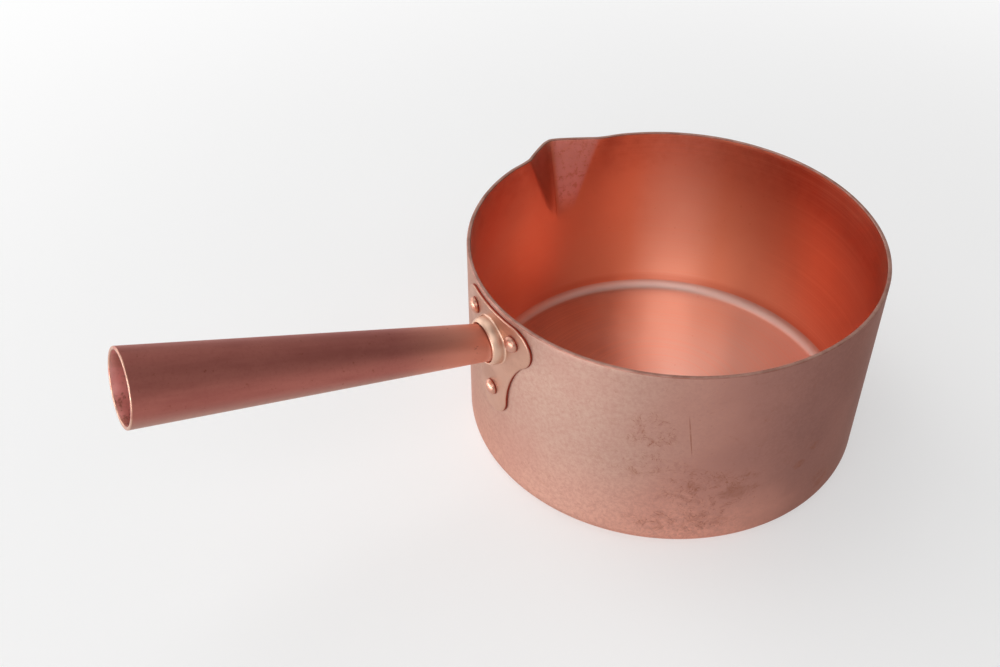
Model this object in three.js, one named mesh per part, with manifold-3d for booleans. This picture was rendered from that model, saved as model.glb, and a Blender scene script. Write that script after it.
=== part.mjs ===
// Sugar pan: a straight-sided copper bowl with a pouring lip pressed into its rim, and a hollow, conical
// handle held by a riveted plate. Millimetres, +Z up. The origin is the middle of the base's underside, the
// handle points along +X, and the lip lies about a quarter turn from it, towards -Y.

import * as THREE from "three";
import { mergeVertices } from "three/addons/utils/BufferGeometryUtils.js";
import Module from "manifold-3d";

const wasm = await Module();
wasm.setup();

// Bowl
const BOWL_DIAMETER = 160;
const BOWL_HEIGHT = 85;
const SHEET = 1.5; // thickness of the bowl's wall and base
const BASE_EDGE_RADIUS = 5.6; // outside bend between base and wall
const RIM_ROUND = 0.4; // broken edges of the rim

// Pouring lip, a V pressed outwards that deepens from its foot to the rim
const LIP_BEARING = -87.2; // degrees from the handle
const LIP_REACH = 8.2; // how far the tip stands out past the wall at the rim
const LIP_DEPTH = 36; // rim down to the foot of the V
const LIP_FOOT_WIDTH = 10;
const LIP_RIM_WIDTH = 38;

// Handle tube
const HANDLE_TILT = 16.2; // degrees above level
const HANDLE_LENGTH = 129.6; // along the tube, from the collar's face to the open mouth
const HANDLE_BELOW_RIM = 15.8; // of the tube's axis where it leaves the collar
const HANDLE_ROOT_RADIUS = 7.1;
const HANDLE_MOUTH_RADIUS = 13;
const HANDLE_WALL = 1.2;
const FLANGE_OVERHANG = 1.5; // how far the turned-out end stands past the tube
const FLANGE_THICKNESS = 0.7;

// Handle plate: two lobes and a tail, each round, with hollow sides between them
const PLATE_THICKNESS = 1;
const PLATE_BELOW_RIM = 1.8;
const PLATE_LOBE_RADIUS = 8.8;
const PLATE_LOBE_OUTSIDE = 3.6; // middle of each lobe, outwards from the collar's side
const PLATE_TAIL_RADIUS = 8.7;
const PLATE_LENGTH = 48.2; // top edge to the end of the tail
const PLATE_WAIST_START = -52; // degrees round the lobe where its hollow side begins
const PLATE_WAIST_PULL = 0.25; // share of the waist's height that runs on from the lobe
const PLATE_TAIL_PULL = 0.37; // and from the tail
const COLLAR_HEIGHT = 4; // of its face above the plate
const COLLAR_WALL = 1.85; // outside its bore
const COLLAR_FOOT_RADIUS = 0.8; // hollow bend between plate and collar
const COLLAR_ROUND = 1.8; // rounded front edge

// Rivets
const RIVET_SHANK_RADIUS = 2;
const RIVET_HEAD_RADIUS = 3.2;
const RIVET_HEAD_HEIGHT = 2.1;
const RIVET_TAIL_RADIUS = 3.5; // low head inside the bowl
const RIVET_TAIL_HEIGHT = 1;
const RIVET_ABOVE_LOBE = 1.6; // upper rivets above the middles of the lobes
const RIVET_ABOVE_TAIL = 2.3; // lower rivet above the middle of the tail

// Clearances
const SEAT_GAP = 0.3; // between pieces that lie on each other
const RIVET_HOLE_GAP = 0.3; // round each shank
const COLLAR_BORE_GAP = 0.45; // round the tube in its collar
const PAST = 5; // how far a cutting shape reaches past what it cuts
const MERGE_TOLERANCE = 1e-4; // points this near each other are one point

// Fineness of the round surfaces
const BOWL_SEGMENTS = 120;
const TUBE_SEGMENTS = 48;
const COLLAR_SEGMENTS = 48;
const RIVET_SEGMENTS = 20;
const BEND_STEPS = 4; // points along a quarter bend
const RIM_STEPS = 1; // along each broken edge of the rim
const LIP_STEPS = 4; // rows of the wall between the lip's foot and the rim
const OUTLINE_STEPS = 8; // points along each curve of the plate's outline

// Worked out from the sizes above
const bowlRadius = BOWL_DIAMETER / 2;
const plateBack = bowlRadius + SEAT_GAP;
const plateFace = plateBack + PLATE_THICKNESS;
const plateTop = BOWL_HEIGHT - PLATE_BELOW_RIM;
const lobeHeight = plateTop - PLATE_LOBE_RADIUS;
const tailHeight = plateTop - PLATE_LENGTH + PLATE_TAIL_RADIUS;
const collarFace = plateFace + COLLAR_HEIGHT;
const collarRadius = HANDLE_ROOT_RADIUS + COLLAR_BORE_GAP + COLLAR_WALL;
const handleHeight = BOWL_HEIGHT - HANDLE_BELOW_RIM;
const lobeSpread = collarRadius + PLATE_LOBE_OUTSIDE; // from the plate's centre line
const flangeRadius = HANDLE_ROOT_RADIUS + FLANGE_OVERHANG;
const flangeFace = plateBack + FLANGE_THICKNESS;
const handleTilt = THREE.MathUtils.degToRad(HANDLE_TILT);
// Midway between the tube's axis at the flange and the collar's middle, so that both cover it
const flangeHeight = handleHeight - ((collarFace - flangeFace) * Math.tan(handleTilt)) / 2;
const handleTaper = (HANDLE_MOUTH_RADIUS - HANDLE_ROOT_RADIUS) / HANDLE_LENGTH;

const copper = (color, roughness) => new THREE.MeshStandardMaterial({ color, roughness, metalness: 1 });
const finishes = {
  bowl: copper(0xc98b76, 0.45),
  handle: copper(0xa9705c, 0.5),
  plate: copper(0xcf967c, 0.4),
  rivet: copper(0xd39a7c, 0.35),
};

// Joins and cuts

function solid(geometry) {
  const bare = geometry.clone();
  bare.deleteAttribute("normal");
  bare.deleteAttribute("uv");
  const merged = mergeVertices(bare, MERGE_TOLERANCE);
  return new wasm.Manifold(
    new wasm.Mesh({
      numProp: 3,
      vertProperties: new Float32Array(merged.attributes.position.array),
      triVerts: new Uint32Array(merged.index.array),
    }),
  );
}

function geometryOf(body) {
  const { vertProperties, triVerts } = body.getMesh();
  const geometry = new THREE.BufferGeometry();
  geometry.setAttribute("position", new THREE.BufferAttribute(vertProperties, 3));
  geometry.setIndex(new THREE.BufferAttribute(triVerts, 1));
  geometry.computeVertexNormals();
  return geometry;
}

// Points of a bend from one angle to another, in degrees round its centre
function bend(centreX, centreY, radius, from, to, steps = BEND_STEPS) {
  const start = THREE.MathUtils.degToRad(from);
  const end = THREE.MathUtils.degToRad(to);
  return new THREE.ArcCurve(centreX, centreY, radius, start, end, to < from).getPoints(steps);
}

const point = (x, y) => new THREE.Vector2(x, y);

// A turned solid whose axis is +Z
function turned(profile, segments) {
  return new THREE.LatheGeometry(profile, segments).rotateX(Math.PI / 2);
}

// A turned solid whose axis is +X
function turnedAlongX(profile, segments) {
  return turned(profile, segments).rotateY(Math.PI / 2);
}

// A plain round bar along +X between two stations
function bar(radius, from, to, segments) {
  const profile = [point(0, from), point(radius, from), point(radius, to), point(0, to)];
  return turnedAlongX(profile, segments);
}

// Bowl

// How far the lip pushes the wall out at a bearing from its middle, at a height. In plan each side of the V
// is straight, from where it leaves the round wall to its tip.
function lipPush(bearing, height) {
  const rise = (height - (BOWL_HEIGHT - LIP_DEPTH)) / LIP_DEPTH;
  if (rise <= 0) return 0;
  const halfWidth = THREE.MathUtils.lerp(LIP_FOOT_WIDTH, LIP_RIM_WIDTH, rise) / 2;
  const halfAngle = halfWidth / bowlRadius;
  const off = Math.abs(bearing);
  if (off >= halfAngle) return 0;
  const tip = bowlRadius + LIP_REACH * rise;
  const rootX = bowlRadius * Math.cos(halfAngle);
  const rootY = bowlRadius * Math.sin(halfAngle);
  const side = (tip * rootY) / (rootY * Math.cos(off) + (tip - rootX) * Math.sin(off));
  return side - bowlRadius;
}

function bowlProfile() {
  const innerRadius = bowlRadius - SHEET;
  const bendHeight = BASE_EDGE_RADIUS;
  const bendCentre = bowlRadius - BASE_EDGE_RADIUS;
  const rimCentre = BOWL_HEIGHT - RIM_ROUND;
  const lipFoot = BOWL_HEIGHT - LIP_DEPTH;
  const rowAt = (i) => THREE.MathUtils.lerp(lipFoot, rimCentre, i / LIP_STEPS);
  const lipRows = Array.from({ length: LIP_STEPS }, (_, i) => rowAt(i));
  return [
    point(0, 0),
    ...bend(bendCentre, bendHeight, BASE_EDGE_RADIUS, -90, 0),
    ...lipRows.map((height) => point(bowlRadius, height)),
    ...bend(bowlRadius - RIM_ROUND, rimCentre, RIM_ROUND, 0, 90, RIM_STEPS),
    ...bend(innerRadius + RIM_ROUND, rimCentre, RIM_ROUND, 90, 180, RIM_STEPS),
    ...lipRows.map((height) => point(innerRadius, height)).reverse(),
    ...bend(bendCentre, bendHeight, BASE_EDGE_RADIUS - SHEET, 0, -90),
    point(0, SHEET),
  ];
}

function pressLip(geometry) {
  const middle = THREE.MathUtils.degToRad(LIP_BEARING);
  const position = geometry.getAttribute("position");
  for (let i = 0; i < position.count; i++) {
    const x = position.getX(i);
    const y = position.getY(i);
    const bearing = Math.atan2(y, x);
    const offMiddle = Math.atan2(Math.sin(bearing - middle), Math.cos(bearing - middle));
    const push = lipPush(offMiddle, position.getZ(i));
    position.setXY(i, x + push * Math.cos(bearing), y + push * Math.sin(bearing));
  }
  return geometry;
}

function panBody() {
  const spun = turned(bowlProfile(), BOWL_SEGMENTS).rotateZ(THREE.MathUtils.degToRad(LIP_BEARING));
  return rivetPlaces.reduce((body, place) => body.subtract(rivetHole(place)), solid(pressLip(spun)));
}

// Rivets, left and right as seen by someone who holds the handle

const rivetPlaces = [
  { name: "rivet_left", across: -lobeSpread, height: lobeHeight + RIVET_ABOVE_LOBE },
  { name: "rivet_right", across: lobeSpread, height: lobeHeight + RIVET_ABOVE_LOBE },
  { name: "rivet_bottom", across: 0, height: tailHeight + RIVET_ABOVE_TAIL },
];

// Bearing of a rivet, whose place across is measured round the plate's face
const rivetBearing = (place) => place.across / plateFace;

function rivetHole(place) {
  const radius = RIVET_SHANK_RADIUS + RIVET_HOLE_GAP;
  const inside = bowlRadius - SHEET - PAST;
  const cutter = bar(radius, inside, plateFace + PAST, RIVET_SEGMENTS);
  return solid(cutter.rotateZ(rivetBearing(place)).translate(0, 0, place.height));
}

// A rivet along +X, at its distance from the bowl's axis
function rivet() {
  const headSeat = plateFace + SEAT_GAP;
  const tailSeat = bowlRadius - SHEET - SEAT_GAP;
  const profile = [
    ...domeFrom(RIVET_TAIL_RADIUS, RIVET_TAIL_HEIGHT).map((p) => point(p.x, tailSeat - p.y)),
    point(RIVET_SHANK_RADIUS, tailSeat),
    point(RIVET_SHANK_RADIUS, headSeat),
    ...domeFrom(RIVET_HEAD_RADIUS, RIVET_HEAD_HEIGHT).map((p) => point(p.x, headSeat + p.y)).reverse(),
  ];
  return turnedAlongX(profile, RIVET_SEGMENTS);
}

// A low dome as points from its top, on the axis, to its edge
function domeFrom(radius, height) {
  const sphere = (radius * radius + height * height) / (2 * height);
  const edge = Math.asin(radius / sphere);
  return Array.from({ length: BEND_STEPS + 1 }, (_, i) => {
    const angle = (edge * i) / BEND_STEPS;
    return point(sphere * Math.sin(angle), height - sphere * (1 - Math.cos(angle)));
  });
}

// Handle plate

function plateOutline() {
  const start = THREE.MathUtils.degToRad(PLATE_WAIST_START);
  const startX = lobeSpread + PLATE_LOBE_RADIUS * Math.cos(start);
  const startY = lobeHeight + PLATE_LOBE_RADIUS * Math.sin(start);
  const waistHeight = startY - tailHeight;
  const pull = PLATE_WAIST_PULL * waistHeight;
  const waist = new THREE.CubicBezierCurve(
    point(startX, startY),
    point(startX + pull * Math.sin(start), startY - pull * Math.cos(start)),
    point(PLATE_TAIL_RADIUS, tailHeight + PLATE_TAIL_PULL * waistHeight),
    point(PLATE_TAIL_RADIUS, tailHeight),
  );
  const half = [
    ...bend(lobeSpread, lobeHeight, PLATE_LOBE_RADIUS, 90, PLATE_WAIST_START, OUTLINE_STEPS * 2),
    ...waist.getPoints(OUTLINE_STEPS).slice(1),
    ...bend(0, tailHeight, PLATE_TAIL_RADIUS, 0, -90, OUTLINE_STEPS).slice(1),
  ];
  const mirrored = half.slice(0, -1).reverse().map((p) => point(-p.x, p.y));
  return new THREE.Shape([...half, ...mirrored]);
}

function handlePlate() {
  const shell = turned(
    [
      point(plateBack, 0),
      point(plateFace, 0),
      point(plateFace, BOWL_HEIGHT),
      point(plateBack, BOWL_HEIGHT),
      point(plateBack, 0),
    ],
    BOWL_SEGMENTS,
  ).rotateZ(THREE.MathUtils.degToRad(LIP_BEARING));
  // The outline is drawn across and up, and stood upright so that it is pushed out along +X
  const outline = new THREE.ExtrudeGeometry(plateOutline(), { depth: plateFace + PAST, bevelEnabled: false })
    .rotateX(Math.PI / 2)
    .rotateZ(Math.PI / 2);
  const collar = solid(turnedAlongX(collarProfile(), COLLAR_SEGMENTS).translate(0, 0, handleHeight));
  const flangeRoom = bar(flangeRadius + SEAT_GAP, plateBack - PAST, flangeFace + SEAT_GAP, COLLAR_SEGMENTS);
  const body = solid(shell)
    .intersect(solid(outline))
    .add(collar)
    .subtract(solid(flangeRoom.translate(0, 0, flangeHeight)))
    .subtract(solid(alongHandle(handleCone(COLLAR_BORE_GAP, -collarFace + plateBack - PAST, PAST))));
  return rivetPlaces.reduce((plate, place) => plate.subtract(rivetHole(place)), body);
}

// From the axis at the back, out round the foot and the front edge, and back to the axis at the face
function collarProfile() {
  const footRadius = collarRadius + COLLAR_FOOT_RADIUS;
  return [
    point(0, plateBack),
    point(footRadius, plateBack),
    ...bend(footRadius, plateFace + COLLAR_FOOT_RADIUS, COLLAR_FOOT_RADIUS, -90, -180),
    ...bend(collarRadius - COLLAR_ROUND, collarFace - COLLAR_ROUND, COLLAR_ROUND, 0, 90),
    point(0, collarFace),
  ];
}

// Handle tube

// A cone that follows the tube's outside, grown by an offset, between two stations along the tube
function handleCone(offset, from, to) {
  const radiusAt = (station) => HANDLE_ROOT_RADIUS + handleTaper * station + offset;
  const profile = [point(0, from), point(radiusAt(from), from), point(radiusAt(to), to), point(0, to)];
  return turnedAlongX(profile, TUBE_SEGMENTS);
}

// Tilts a shape that lies along +X and sets its start where the tube leaves the collar
function alongHandle(geometry) {
  return geometry.rotateY(-handleTilt).translate(collarFace, 0, handleHeight);
}

function handleTube() {
  const rootStation = -(collarFace - plateBack) - PAST;
  const outside = solid(alongHandle(handleCone(0, rootStation, HANDLE_LENGTH)));
  const bore = solid(alongHandle(handleCone(-HANDLE_WALL, rootStation - PAST, HANDLE_LENGTH + PAST)));
  const flange = bar(flangeRadius, plateBack, flangeFace, COLLAR_SEGMENTS).translate(0, 0, flangeHeight);
  const behindFlange = bar(bowlRadius, 0, plateBack, COLLAR_SEGMENTS).translate(0, 0, handleHeight);
  return outside.add(solid(flange)).subtract(bore).subtract(solid(behindFlange));
}

// Assembly

function named(name, geometry, material) {
  const mesh = new THREE.Mesh(geometry, material);
  mesh.name = name;
  return mesh;
}

const rivetShape = rivet();
const rivets = rivetPlaces.map((place) => {
  const mesh = named(place.name, rivetShape, finishes.rivet);
  mesh.position.z = place.height;
  mesh.rotation.z = rivetBearing(place);
  return mesh;
});

const handle = new THREE.Group();
handle.add(
  named("handle_plate", geometryOf(handlePlate()), finishes.plate),
  named("handle_tube", geometryOf(handleTube()), finishes.handle),
  ...rivets,
);

const pan = new THREE.Group();
pan.add(named("pan_body", geometryOf(panBody()), finishes.bowl), handle);

export default pan;
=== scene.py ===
"""Fine shape and finish of a copper sugar pan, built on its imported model. Metres, +Z up, handle along +X."""

import math

import bmesh
import bpy
from mathutils import Euler, Matrix, Vector


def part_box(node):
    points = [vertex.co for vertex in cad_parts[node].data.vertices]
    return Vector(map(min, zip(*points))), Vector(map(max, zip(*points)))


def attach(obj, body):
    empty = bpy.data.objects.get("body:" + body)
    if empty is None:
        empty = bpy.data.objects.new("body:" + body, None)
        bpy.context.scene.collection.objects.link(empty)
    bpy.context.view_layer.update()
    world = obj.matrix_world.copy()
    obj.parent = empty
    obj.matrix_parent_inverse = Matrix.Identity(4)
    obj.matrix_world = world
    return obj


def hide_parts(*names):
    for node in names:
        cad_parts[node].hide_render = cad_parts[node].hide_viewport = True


bl_info = {
    "name": "Sugar pan",
    "version": (1, 0, 0),
    "blender": (4, 5, 0),
    "location": "3D View > Sidebar > Sugar pan",
    "description": "Builds a copper sugar pan with a pouring lip and a riveted handle",
    "category": "Add Mesh",
}

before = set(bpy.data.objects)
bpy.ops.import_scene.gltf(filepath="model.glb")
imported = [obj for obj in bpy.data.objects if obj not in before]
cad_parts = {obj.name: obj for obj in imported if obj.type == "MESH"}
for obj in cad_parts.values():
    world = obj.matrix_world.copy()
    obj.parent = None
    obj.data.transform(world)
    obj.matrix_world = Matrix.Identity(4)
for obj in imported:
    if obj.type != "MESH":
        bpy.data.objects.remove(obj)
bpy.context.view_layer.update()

MM = 0.001
BODY = "root"

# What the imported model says
_, BODY_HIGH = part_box("pan_body")
PLATE_LOW, PLATE_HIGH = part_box("handle_plate")
TUBE_LOW, TUBE_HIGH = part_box("handle_tube")

# Fineness of the meshes
WALL_TURN = math.radians(1.0)  # between columns of the wall
LIP_TURN = math.radians(0.2)  # between columns in and beside the lip
WALL_ROW = 2.0 * MM  # between rows of the wall
BASE_ROW = 12.0 * MM  # between rings of the base
BEND_STEPS = 12  # rows round a bend
ROUND_STEPS = 4  # rows round a broken edge
TUBE_COLUMNS = 144
TUBE_ROWS = 48
RIVET_COLUMNS = 40
OUTLINE_STEPS = 28  # points along each curve of the plate's outline
PLATE_TOP_STEP = 1.5 * MM  # between points along the plate's straight top
PLATE_ROWS = 14  # rows between the collar and the plate's edge
FLOOR_COLUMNS = 144
FLOOR_ROW = 0.5  # metres between rings of the floor


def length(name, description, millimetres):
    """A length property, whose default is given in millimetres."""
    return bpy.props.FloatProperty(
        name=name, description=description, default=millimetres * MM, precision=5, unit="LENGTH"
    )


def angle(name, description, degrees):
    """An angle property, whose default is given in degrees."""
    return bpy.props.FloatProperty(
        name=name, description=description, default=math.radians(degrees), unit="ROTATION"
    )


def colour(name, description, red, green, blue):
    """A colour property."""
    return bpy.props.FloatVectorProperty(
        name=name, description=description, default=(red, green, blue), subtype="COLOR", size=3, min=0, max=1
    )


def amount(name, description, value):
    """A plain number property."""
    return bpy.props.FloatProperty(name=name, description=description, default=value)


class SugarPanSizes(bpy.types.PropertyGroup):
    """Sizes of the pan that a user may change."""

    bowl_radius: length("Bowl radius", "Outside of the round wall", BODY_HIGH.x / MM)
    bowl_height: length("Bowl height", "Base to rim", BODY_HIGH.z / MM)
    sheet: length("Sheet", "Thickness of wall and base", 1.5)
    base_bend: length("Base bend", "Outside radius between base and wall", 5.6)
    rim_round: length("Rim round", "Broken edges of the rim", 0.4)
    lip_bearing: angle("Lip bearing", "Direction of the lip from the handle", -87.8)
    lip_reach: length("Lip reach", "How far the tip stands out at the rim", 9.1)
    lip_depth: length("Lip depth", "Rim down to the foot of the lip", 36.0)
    lip_near_foot: length("Lip near foot", "Width at the foot of the side towards the handle", 3.5)
    lip_near_width: length("Lip near width", "Width at the rim of the side towards the handle", 16.0)
    lip_far_foot: length("Lip far foot", "Width at the foot of the side away from the handle", 7.5)
    lip_far_width: length("Lip far width", "Width at the rim of the side away from the handle", 19.8)
    lip_shoulder: length("Lip shoulder", "Softness where the lip leaves the wall", 0.45)
    lip_crease: length("Lip crease", "Softness of the fold down the middle of the lip", 3.0)
    lip_draw: length("Lip draw", "How far the rim is drawn in beside the lip", 0.4)
    wall_wave: length("Wall wave", "Unevenness of the wall at the rim", 0.1)
    plate_back: length("Plate back", "Plate's back from the bowl's axis", 80.1)
    plate_face: length("Plate face", "Plate's face from the bowl's axis", 81.3)
    plate_edge: length("Plate edge", "Rounded edge of the plate", 0.4)
    lobe_radius: length("Lobe radius", "Round ends of the plate's arms", 8.8)
    tail_radius: length("Tail radius", "Round lower end of the plate", 8.7)
    collar_face: length("Collar face", "Collar's face from the bowl's axis", PLATE_HIGH.x / MM)
    collar_radius: length("Collar radius", "Outside of the collar", 9.4)
    collar_round: length("Collar round", "Rounded front edge of the collar, across", 1.45)
    collar_crown: length("Collar crown", "Rounded front edge of the collar, along", 3.3)
    collar_foot: length("Collar foot", "Hollow bend between collar and plate", 0.6)
    collar_gap: length("Collar gap", "Gap between the collar and the tube", 0.45)
    handle_tilt: angle("Handle tilt", "Rise of the handle above level", 16.2)
    handle_below_rim: length("Handle below rim", "Tube's axis at the collar's face, below the rim", 15.8)
    handle_root: length("Handle root", "Tube's radius at the collar", 7.1)
    handle_mouth: length("Handle mouth", "Tube's radius at its open end", TUBE_HIGH.y / MM)
    handle_wall: length("Handle wall", "Thickness of the tube", 1.2)
    mouth_lean: length("Mouth lean", "How far the top of the open end stands out past its middle", 0.9)
    mouth_round: length("Mouth round", "Broken edges of the tube's open end", 0.35)
    flange_overhang: length("Flange overhang", "Tube's turned-out end past the tube", 1.5)
    flange_thickness: length("Flange thickness", "Thickness of the turned-out end", 0.7)
    rivet_head: length("Rivet head", "Radius of a rivet's outer head", 3.2)
    rivet_rise: length("Rivet rise", "Height of a rivet's outer head", 2.4)
    rivet_shank: length("Rivet shank", "Radius of a rivet's shank", 2.0)
    rivet_tail: length("Rivet tail", "Radius of a rivet's head inside the bowl", 3.5)
    rivet_tail_rise: length("Rivet tail rise", "Height of a rivet's head inside the bowl", 1.3)


class SugarPanColours(bpy.types.PropertyGroup):
    """Colours of the copper, of its marks, and of the painted light and shade on it."""

    outside: colour("Outside", "Satin copper of the outer wall", 0.54, 0.365, 0.295)
    # Painted shade: the outer wall browner, then darker, on the side away from the light
    outside_brown_shade: colour("Outside, browned", "Outer wall where it is browner", 0.50, 0.24, 0.19)
    outside_painted_shade: colour("Outside, deep", "Outer wall where it is darkest", 0.255, 0.124, 0.107)
    # Painted reflection of a warm floor: lighter and warmer near the base
    outside_low_reflection: colour("Outside, low", "Outer wall near the base", 0.82, 0.40, 0.305)
    outside_dull: colour("Outside, dulled", "Mauve clouds on the outer wall", 0.44, 0.225, 0.19)
    stain: colour("Stain", "Brown marks on the outer wall", 0.30, 0.11, 0.064)
    inside: colour("Inside", "Turned copper inside the bowl", 0.98, 0.57, 0.44)
    # Redder copper: painted reflection of light bounced between the copper walls on the sides of the inner
    # wall, and the turned rings
    inside_rings_and_reflected_red: colour("Inside, reddened", "Redder copper on the sides of the inner wall", 0.99, 0.41, 0.25)
    inside_floor: colour("Inside, floor", "Pinker copper on the floor of the bowl", 0.86, 0.60, 0.53)
    # Painted highlight: pale copper on the bend round the floor
    inside_bend_highlight: colour("Inside, bend", "Pale copper on the bend round the floor", 0.80, 0.58, 0.52)
    # Darker smears below the rim, and painted shade on one side of the wall, on one side of the floor and over
    # the bend
    inside_dull_and_shade: colour("Inside, dulled", "Darker smears below the rim", 0.68, 0.17, 0.097)
    # Painted reflection: pale mauve on the lip's wide side
    lip: colour("Lip", "Mauve copper on the wide side of the lip", 0.97, 0.43, 0.385)
    rim: colour("Rim", "Worn copper on the rim", 0.56, 0.32, 0.26)
    rim_dull: colour("Rim, dulled", "Brown tarnish on the rim", 0.36, 0.17, 0.13)
    handle: colour("Handle", "Dulled copper of the tube", 0.45, 0.155, 0.125)
    # Painted reflection of the bright collar and plate on the tube near the collar
    handle_collar_reflection: colour("Handle, bright", "Tube by the collar, where no hand rubs it", 0.80, 0.34, 0.24)
    # Painted reflection of the pale floor on the underside of the tube
    handle_floor_reflection: colour("Handle, low", "Underside of the tube", 0.45, 0.28, 0.225)
    handle_dull: colour("Handle, dulled", "Dark streaks along the tube", 0.36, 0.11, 0.092)
    bore: colour("Bore", "Rosy copper inside the tube", 0.84, 0.45, 0.42)
    plate: colour("Plate", "Satin copper of the plate", 0.555, 0.315, 0.232)
    plate_dull: colour("Plate, dulled", "Clouds on the plate", 0.455, 0.245, 0.178)
    # Golden copper, lightened in part as a painted highlight on the collar
    collar: colour("Collar", "Golden copper of the collar", 0.70, 0.46, 0.345)
    # Dark red tarnish and painted shade in the seams
    seam: colour("Seam", "Dark red tarnish in the seams", 0.42, 0.05, 0.03)
    # Brown tarnish on handle and rim; on the bowl's floor it is painted shade
    tarnish: colour("Tarnish", "Brown tarnish on handle, rim and floor", 0.27, 0.075, 0.05)
    rivet: colour("Rivet", "Bright copper of the rivets", 0.56, 0.29, 0.215)


class SugarPanStage(bpy.types.PropertyGroup):
    """Floor, lights and camera."""

    floor: colour("Floor", "Plain pale floor", 0.95, 0.95, 0.95)
    floor_white: amount("Floor white", "Share of the floor near the pan that reads as white paper", 0.45)
    light: amount("Light", "Level of all the softboxes, where 1 is plain", 1.0)
    fill: amount("Fill", "Strength of the light from all round", 0.1)
    camera_bearing: angle("Camera bearing", "Direction of the camera from the bowl's axis", 49.7)
    camera_distance: length("Camera distance", "Level distance of the camera from the bowl's axis", 361.1)
    camera_height: length("Camera height", "Camera above the floor", 336.8)
    camera_yaw: angle("Camera yaw", "Turn of the view from the bowl's axis to the left", 10.78)
    camera_pitch: angle("Camera pitch", "Tilt of the view below level", 40.1)
    camera_roll: angle("Camera roll", "Turn of the camera about its view", 0.705)
    camera_lens: amount("Camera lens", "Focal length in millimetres on a 36 mm sensor", 40.78)


# Shader maths


class Socket:
    """One value in a shader, with Python's arithmetic."""

    def __init__(self, shader, plug):
        self.shader = shader
        self.plug = plug

    def maths(self, operation, first, second):
        return self.shader.add("ShaderNodeMath", {"operation": operation}, {0: first, 1: second})

    def __add__(self, other):
        return self.maths("ADD", self, other)

    def __radd__(self, other):
        return self.maths("ADD", other, self)

    def __sub__(self, other):
        return self.maths("SUBTRACT", self, other)

    def __rsub__(self, other):
        return self.maths("SUBTRACT", other, self)

    def __mul__(self, other):
        return self.maths("MULTIPLY", self, other)

    def __rmul__(self, other):
        return self.maths("MULTIPLY", other, self)

    def __truediv__(self, other):
        return self.maths("DIVIDE", self, other)


class Shader:
    """Adds nodes to one node tree."""

    def __init__(self, tree):
        self.tree = tree
        tree.nodes.clear()

    def add(self, kind, settings=None, sockets=None, outputs=0):
        """One node: its settings first, then its sockets' values or links. Gives one output or several."""
        node = self.tree.nodes.new(kind)
        for name, value in (settings or {}).items():
            setattr(node, name, value)
        for name, value in (sockets or {}).items():
            if isinstance(value, Socket):
                self.tree.links.new(value.plug, node.inputs[name])
            else:
                node.inputs[name].default_value = value
        if isinstance(outputs, tuple):
            return [Socket(self, node.outputs[name]) for name in outputs]
        return Socket(self, node.outputs[outputs]) if node.outputs else None

    def place(self):
        """Place on the piece, in the piece's own frame."""
        return self.add("ShaderNodeTexCoord", outputs="Object")

    def parts(self, vector):
        return self.add("ShaderNodeSeparateXYZ", sockets={0: vector}, outputs=("X", "Y", "Z"))

    def vector(self, x, y, z):
        return self.add("ShaderNodeCombineXYZ", sockets={0: x, 1: y, 2: z})

    def size(self, vector):
        return self.add("ShaderNodeVectorMath", {"operation": "LENGTH"}, {0: vector}, outputs="Value")

    def noise(self, vector, scale, detail=2.0, roughness=0.5, distortion=0.0):
        """Smooth noise about 0.5, with a scale in lumps to the metre."""
        sockets = {
            "Vector": vector,
            "Scale": scale,
            "Detail": detail,
            "Roughness": roughness,
            "Distortion": distortion,
        }
        return self.add("ShaderNodeTexNoise", sockets=sockets)

    def step(self, value, low, high):
        """Rises smoothly from 0 at low to 1 at high."""
        settings = {"interpolation_type": "SMOOTHSTEP"}
        return self.add("ShaderNodeMapRange", settings, {"Value": value, "From Min": low, "From Max": high})

    def mix(self, factor, first, second):
        """A colour between two colours."""
        sockets = {0: factor, 6: solid(first), 7: solid(second)}
        return self.add("ShaderNodeMix", {"data_type": "RGBA"}, sockets, outputs=2)

    def bump(self, height, distance):
        return self.add("ShaderNodeBump", sockets={"Height": height, "Distance": distance})

    def copper(self, base, roughness, normal, anisotropy=0.0, turn=0.0, edge=(1, 1, 1)):
        """The metal itself, as this tree's surface. Edge tints what it mirrors at a glancing angle."""
        sockets = {
            "Base Color": base,
            "Metallic": 1.0,
            "Roughness": roughness,
            "Normal": normal,
            "Anisotropic": anisotropy,
            "Anisotropic Rotation": turn,
            "Specular Tint": solid(edge),
        }
        self.surface(self.add("ShaderNodeBsdfPrincipled", sockets=sockets))

    def surface(self, closure):
        self.add("ShaderNodeOutputMaterial", sockets={"Surface": closure})


def solid(value):
    """A colour as a socket's value."""
    return value if isinstance(value, Socket) else (*value, 1.0)


def new_finish(fill, *settings):
    """A new material, named after the function that fills its shader."""
    material = bpy.data.materials.new(fill.__name__)
    material.use_nodes = True
    fill(Shader(material.node_tree), *settings)
    return material


# Depth of the marks in the copper
GRAIN_DEPTH = 0.02 * MM  # fine grain of most finishes
RING_DEPTH = 0.012 * MM  # turned rings inside the bowl
PLATE_GRAIN_DEPTH = 0.015 * MM
COLLAR_GRAIN_DEPTH = 0.01 * MM
HAMMER_DEPTH = 0.06 * MM  # hammer marks on the rivets
# Turn of the bowl's sheen from the direction round its axis, as a share of a full turn
BOWL_SHEEN = 0.25


# Meshes


def smooth_ramp(value, softness):
    """Zero below, the value itself above, with a smooth turn between."""
    if value <= -softness:
        return 0.0
    if value >= softness:
        return value
    return (value + softness) ** 2 / (4 * softness)


def arc(centre_x, centre_y, radius, start, end, steps):
    """Points of an arc, in degrees, both ends included."""
    turns = [math.radians(start + (end - start) * i / steps) for i in range(steps + 1)]
    return [(centre_x + radius * math.cos(t), centre_y + radius * math.sin(t)) for t in turns]


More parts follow.
